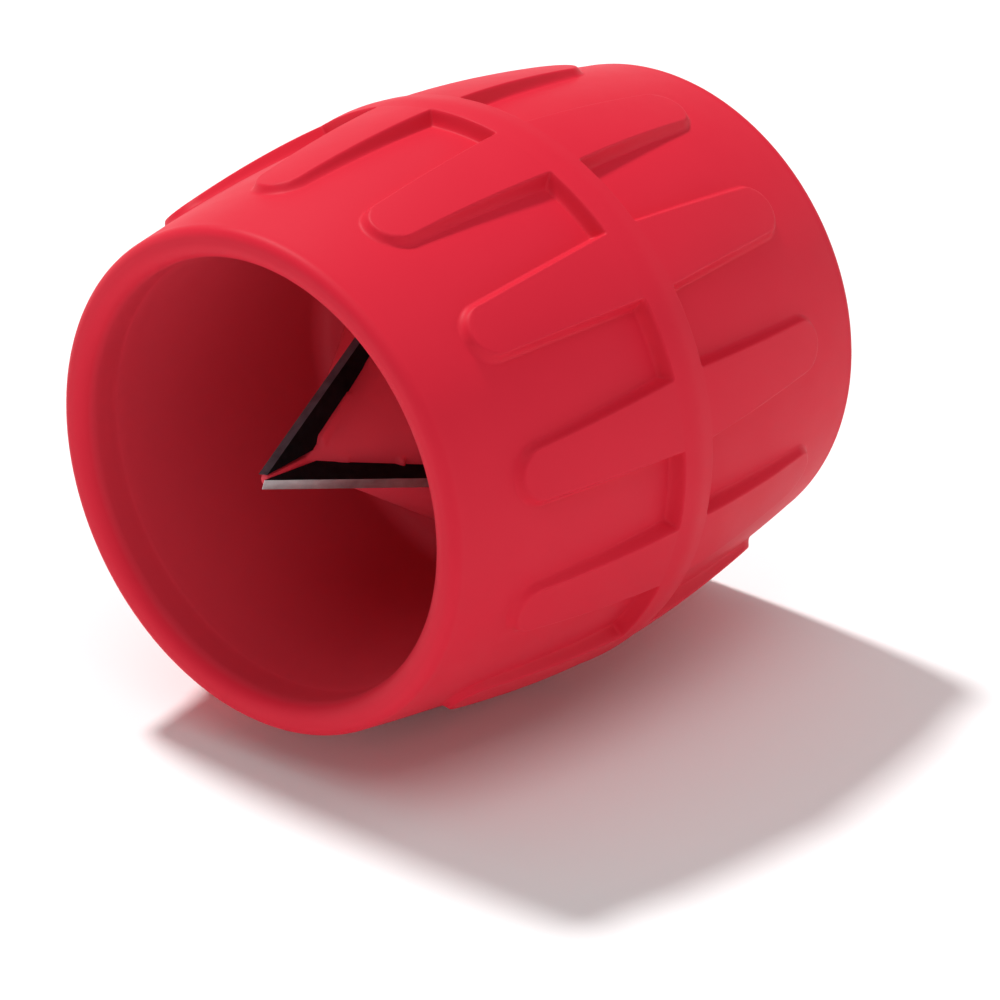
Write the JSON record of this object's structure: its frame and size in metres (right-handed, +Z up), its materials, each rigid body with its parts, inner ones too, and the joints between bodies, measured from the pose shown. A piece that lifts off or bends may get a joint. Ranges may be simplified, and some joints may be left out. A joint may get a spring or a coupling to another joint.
{
  "type": "tube deburring tool",
  "caption": "Barrel-shaped hand tool with grip fingers: a cone with steel blades in one end deburrs inside tubes, a bladed funnel in the other end outside.",
  "frame": {"origin": "on the surface it lies on, under the middle of the barrel", "axes": "+Y along the barrel's axis, from the mouth with the cutting cone to the funnel; +Z up; +X to the right seen from the mouth"},
  "size_m": [0.052, 0.054, 0.052],
  "materials": {
    "red_plastic": "moulded, semi-matte",
    "black_steel": "black oxide faces with ground edges",
    "plain_steel": "ground",
    "zinc_steel": "zinc plated",
    "brass": "turned"
  },
  "bodies": {
    "root": {"front_shell": "red_plastic", "rear_shell": "red_plastic", "blade_1": "black_steel", "blade_2": "black_steel", "blade_3": "black_steel", "blade_pin_1": "plain_steel", "blade_pin_2": "plain_steel", "blade_pin_3": "plain_steel", "clamp_screw_1": "zinc_steel", "clamp_screw_2": "zinc_steel", "clamp_screw_3": "zinc_steel", "thread_insert_1": "brass", "thread_insert_2": "brass", "thread_insert_3": "brass"}
  },
  "joints": []
}
